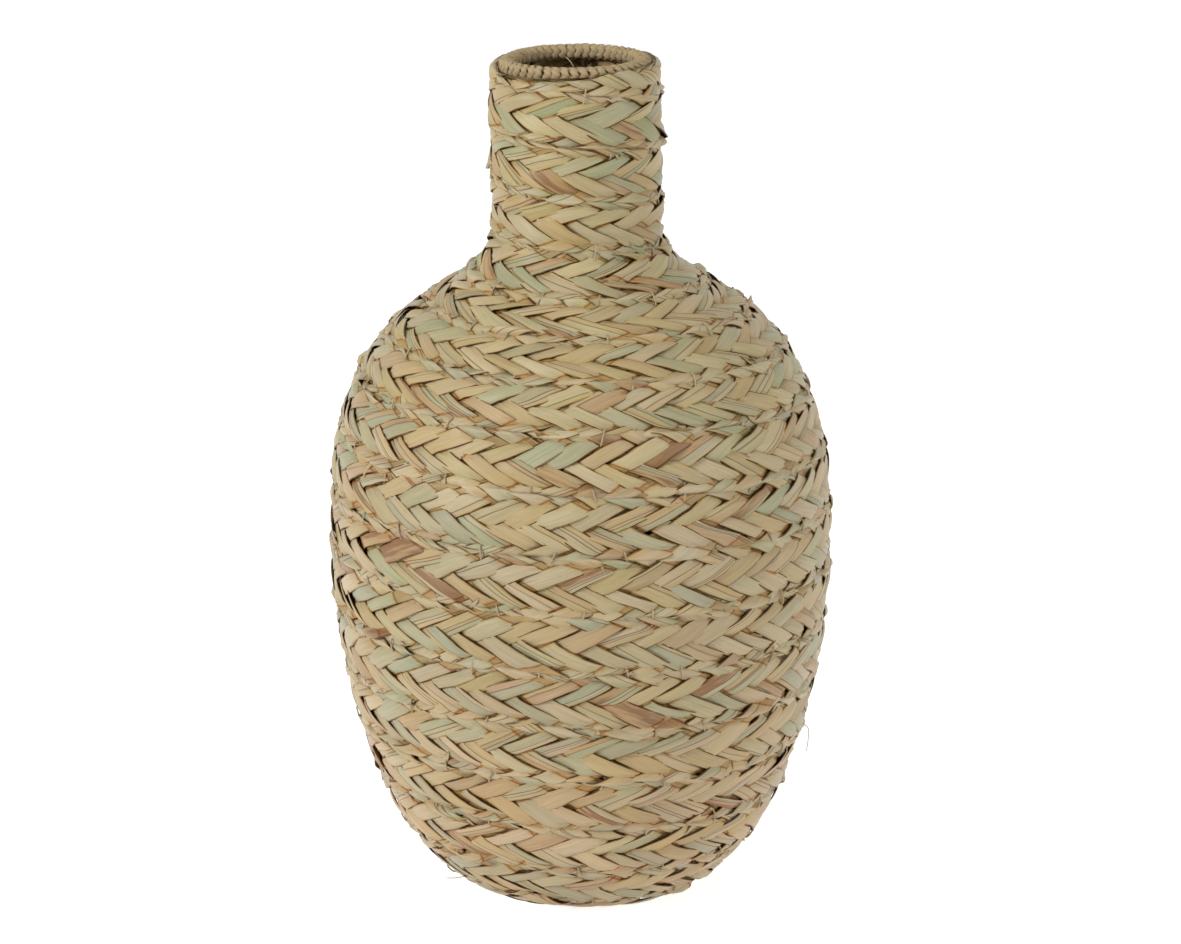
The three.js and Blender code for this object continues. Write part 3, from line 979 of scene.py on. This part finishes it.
def seagrass():
    """Dried leaves of many tones, veined, stained at the folds, and dark along the edges, with painted shade
    and highlight.
    """
    material, graph, shader = surface("seagrass", specular=0.40)
    tone, shade, patch = graph.split(attribute(graph, "leaf_look"))
    along, across, strand = graph.split(attribute(graph, "leaf_place"))

    def grain(lengthwise, crosswise, apart, detail):
        """Noise on a leaf, at rates along and across it. Leaves lie apart in it, so that they differ."""
        place = graph.point(along * lengthwise, across * crosswise, patch * apart + strand)
        return graph.noise(place, detail=detail)

    spots = grain(lengthwise=3.0, crosswise=1.2, apart=40, detail=3.0)
    streaks = grain(lengthwise=2.2, crosswise=3.5, apart=25, detail=3.0)
    fibres = grain(lengthwise=5.0, crosswise=6.0, apart=25, detail=3.0)
    veins = grain(lengthwise=4.0, crosswise=15.0, apart=19, detail=2.0)
    specks = grain(lengthwise=42.0, crosswise=3.0, apart=31, detail=1.0)
    gaps = grain(lengthwise=8.0, crosswise=0.7, apart=13, detail=1.0)

    # Many strands have a second and a third leaf on top, which cover part of the width
    def upper_leaf(fewest, rate):
        """1 where the upper leaf lies, and 1 along its edge."""
        here = graph.rise(patch, fewest, fewest + 0.01)
        edge_at = (patch * rate) % 1.0 * 1.3 - 0.65
        line = graph.fall(abs(across - edge_at) + 0.05 * fibres, 0.03, 0.09)
        return graph.rise(across, edge_at - 0.015, edge_at + 0.015) * here, line * here

    second, second_line = upper_leaf(fewest=0.56, rate=7.3)
    third, third_line = upper_leaf(fewest=0.82, rate=13.7)
    leaf_tone = (tone + second * 0.2 + third * 0.15) % 1.0 + 0.26 * spots
    colour = graph.node("ShaderNodeValToRGB", {"stops": LEAF_COLOURS}, {"Fac": leaf_tone})

    # Each leaf has its own tint. The vase's upper part has yellowed, and its lower part is more pink.
    light = 1.0 + 0.14 * (shade - 0.5) + 0.28 * streaks + 0.40 * fibres + 0.34 * veins
    rosy = (patch * 17.3) % 1.0 - 0.5
    creamy = (patch * 29.7) % 1.0 - 0.5
    _, _, height = graph.split(object_place(graph))
    pink = graph.fall(height, *PINK_HEIGHTS)
    yellowed = graph.rise(height, *YELLOWED_HEIGHTS)
    red = 1.0 + 0.05 * rosy + 0.06 * pink
    green = 1.0 - 0.04 * rosy
    blue = 1.0 + 0.12 * creamy - 0.07 * yellowed
    tint = graph.point(light * red, light * green, light * blue)
    colour = graph.mix(1.0, colour, tint, "MULTIPLY")

    # The folds are pale, partly cream leaf and partly painted highlight, or stained, and some leaves have
    # brown specks
    crossing = along - strand * 2 / STRAND_COUNT
    edge = abs(graph.math("COSINE", crossing * math.pi))
    pale_fold_and_highlight = graph.rise(edge - 0.6 * spots, 0.86, 1.0) * 0.4
    colour = graph.mix(pale_fold_and_highlight, colour, FOLD_CREAM_AND_HIGHLIGHT)
    stained = graph.rise(edge + 0.5 * spots, 0.98, 1.2) * 0.35
    colour = graph.mix(stained, colour, FOLD_STAIN)
    speckled = graph.rise(specks + 0.25 * spots, 0.24, 0.34) * 0.5
    colour = graph.mix(speckled, colour, SPECK_BROWN)

    # A warm brown painted shade where the leaf goes under another, painted shade along its margins, and dark
    # lines at its edges
    weave = weave_height(graph, weave_cycle(crossing, across * LEAF_WIDTH_SHARE / 2))
    painted_under_shade = graph.fall(weave, 0.32, 0.56) * graph.rise(weave, 0.04, 0.26, 0.30, 1.0)
    colour = graph.mix(painted_under_shade, colour, UNDER_SHADE, "MULTIPLY")
    # Painted shade: a warm darkening along the leaf's margins and where it starts to go under another
    painted_margin_shade = graph.rise(abs(across) + 0.3 * streaks, 0.66, 0.92)
    painted_margin_shade = graph.math("MAXIMUM", painted_margin_shade, graph.fall(weave, 0.55, 0.86))
    colour = graph.mix(painted_margin_shade, colour, MARGIN_SHADE, "MULTIPLY")
    # Dark lines at the leaf's edges and at the edges of upper leaves: partly the leaf's own brown edge,
    # partly painted crevice shadow
    edge_and_crevice_shade = graph.rise(abs(across) + 0.16 * streaks, 0.86, 0.895) * graph.rise(gaps, -0.10, 0.02, 0.45, 1.0)
    line = graph.math("MAXIMUM", edge_and_crevice_shade, graph.math("MAXIMUM", second_line, third_line) * 0.6)
    colour = graph.mix(line, colour, EDGE_BROWN_AND_SHADE)

    roughness = 0.42 + 0.25 * streaks
    relief = fibres * 0.6 + veins * 0.6 + streaks * 0.8 + second + third
    normal = bump(graph, relief, strength=0.6, distance=0.0006)
    feed(graph, shader, base_color=colour, roughness=roughness, normal=normal)
    return material


def spun(name, colour, dark, scale):
    """Spun fibre, as in thread, twine and frayed ends: fine light and dark hairs in all directions.

    Where the fibre is wound turn on turn, the creases between the turns get a dark painted shade.
    """
    material, graph, shader = surface(name, specular=0.25)
    place = object_place(graph)
    hairs = graph.noise(place, scale=scale, detail=4.0, roughness=0.7)
    clumps = graph.noise(place, scale=scale * 0.2, detail=2.0)
    flecks = graph.rise(hairs, 0.12, 0.2)
    light = 1.0 + 0.9 * hairs + 0.4 * clumps
    shaded = graph.mix(1.0, (*colour, 1.0), graph.point(light, light, light), "MULTIPLY")
    shaded = graph.mix(flecks * 0.5, shaded, (*dark, 1.0))
    _, sideways, _ = graph.split(attribute(graph, "twine_place"))
    # Painted shade in the creases between the turns
    painted_crease_shade = graph.rise(abs(sideways) + 1.2 * hairs + 1.6 * clumps, 0.78, 1.02)
    shaded = graph.mix(painted_crease_shade * 0.8, shaded, CREASE_SHADE)
    normal = bump(graph, hairs, strength=0.8, distance=0.0006)
    feed(graph, shader, base_color=shaded, roughness=0.8 + 0.2 * hairs, normal=normal)
    return material


def lacquered_wire():
    """Dark brown lacquer, worn to rust in places."""
    material, graph, shader = surface("lacquered_wire", specular=0.2)
    wear = graph.noise(object_place(graph), scale=90.0, detail=4.0)
    rust = graph.rise(wear, 0.10, 0.22)
    colour = graph.mix(rust, LACQUER_BROWN, RUST_BROWN)
    normal = bump(graph, wear, strength=0.3, distance=0.0003)
    feed(graph, shader, base_color=colour, roughness=0.62 + 0.3 * rust, normal=normal)
    return material


# Pieces


def dress(piece, slot, *nodes):
    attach(piece, "root")
    if nodes:
        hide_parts(*nodes)


def add_plait():
    leaf = seagrass()
    graph = strand_graph(leaf)
    for strand in range(STRAND_COUNT):
        piece = grow(f"plait_strand_{strand + 1}", graph, strand=strand)
        dress(piece, "seagrass", "plait")
    dress(grow("leaf_ends", leaf_end_graph(leaf)), "seagrass")


def add_sewing():
    thread = spun("thread", (0.47, 0.37, 0.23), (0.22, 0.14, 0.07), scale=900.0)
    dress(grow("sewing_stitches", stitch_graph(thread)), "thread", "sewing_thread")
    frayed = spun("frayed_leaf", (0.58, 0.48, 0.31), (0.30, 0.19, 0.09), scale=500.0)
    dress(grow("seam_fibres", fibre_graph(frayed)), "seagrass")
    dress(stray_fibres("stray_fibres", frayed), "seagrass")


def add_mouth():
    ring_low, ring_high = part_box("mouth_ring")
    wrap_low, wrap_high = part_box("mouth_wrap")
    wire_radius = (ring_high[2] - ring_low[2]) / 2
    ring = {
        "Ring Radius": ring_high[0] - wire_radius,
        "Ring Height": ring_low[2] + wire_radius,
        "Wrap Radius": (wrap_high[2] - wrap_low[2]) / 2,
    }
    twine = spun("twine", (0.50, 0.382, 0.212), (0.20, 0.125, 0.055), scale=1100.0)
    dress(grow("mouth_twine", twine_graph(twine, ring)), "twine", "mouth_wrap")
    dress(grow("twine_hairs", hair_graph(twine, ring)), "twine")


def add_wire_finish():
    finish = lacquered_wire()
    for name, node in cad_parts.items():
        if name.startswith("rib_") or name.endswith(("_hoop", "_ring")):
            node.data.materials.clear()
            node.data.materials.append(finish)


# Stage


def turned_to(direction):
    """The turn that points an object's Z axis in a direction."""
    return direction.to_track_quat("Z", "Y").to_matrix().to_4x4()


def add_camera():
    data = bpy.data.cameras.new("camera")
    data.sensor_width = SENSOR_WIDTH
    data.lens = FOCAL_PIXELS / IMAGE_WIDTH * SENSOR_WIDTH
    data.clip_end = CAMERA_RANGE
    camera = bpy.data.objects.new("camera", data)
    scene.collection.objects.link(camera)
    back = Vector((0.0, -math.cos(CAMERA_ELEVATION), math.sin(CAMERA_ELEVATION)))
    roll = Matrix.Rotation(-CAMERA_ROLL, 4, "Z")
    camera.matrix_world = Matrix.Translation(AIM_POINT + back * CAMERA_DISTANCE) @ turned_to(back) @ roll
    scene.camera = camera


def add_lamp(name, place, size, power):
    data = bpy.data.lights.new(name, "AREA")
    data.size = size
    data.energy = power
    lamp = bpy.data.objects.new(name, data)
    scene.collection.objects.link(lamp)
    lamp.matrix_world = Matrix.Translation(place) @ turned_to(place - AIM_POINT)


def glow(graph, light, look):
    """Strength that lights the vase by one value, and looks by another to the camera and in mirrors."""
    path = graph.node("ShaderNodeLightPath")
    seen = graph.math("MAXIMUM", path["Is Camera Ray"], path["Is Glossy Ray"])
    seen = graph.math("MAXIMUM", seen, path["Is Transmission Ray"])
    return light + (look - light) * seen


def add_world():
    world = bpy.data.worlds.new("studio")
    world.use_nodes = True
    world.node_tree.nodes.clear()
    graph = Graph(world.node_tree)
    strength = glow(graph, WORLD_LIGHT, WORLD_LOOK)
    sky = graph.node("ShaderNodeBackground", {}, {"Color": WHITE, "Strength": strength})
    graph.node("ShaderNodeOutputWorld", {}, {"Surface": sky})
    scene.world = world


def add_floor():
    mesh = bpy.data.meshes.new("floor")
    far = FLOOR_REACH
    mesh.from_pydata([(-far, -far, 0), (far, -far, 0), (far, far, 0), (-far, far, 0)], [], [(0, 1, 2, 3)])
    floor = bpy.data.objects.new("floor", mesh)
    scene.collection.objects.link(floor)
    material = bpy.data.materials.new("floor_paint")
    material.use_nodes = True
    material.node_tree.nodes.clear()
    graph = Graph(material.node_tree)
    paint = graph.node("ShaderNodeBsdfDiffuse", {}, {"Color": FLOOR_GREY})
    strength = glow(graph, FLOOR_LIGHT, FLOOR_LOOK)
    shine = graph.node("ShaderNodeEmission", {}, {"Color": WHITE, "Strength": strength})
    bright = graph.node("ShaderNodeAddShader", {}, {0: paint, 1: shine})
    graph.node("ShaderNodeOutputMaterial", {}, {"Surface": bright})
    mesh.materials.append(material)


add_plait()
add_sewing()
add_mouth()
add_wire_finish()
for line in (wall_line, course_line):
    bpy.data.meshes.remove(line.data)

add_camera()
add_world()
for lamp in LAMPS:
    add_lamp(*lamp)
add_floor()
scene.view_settings.view_transform = "Standard"
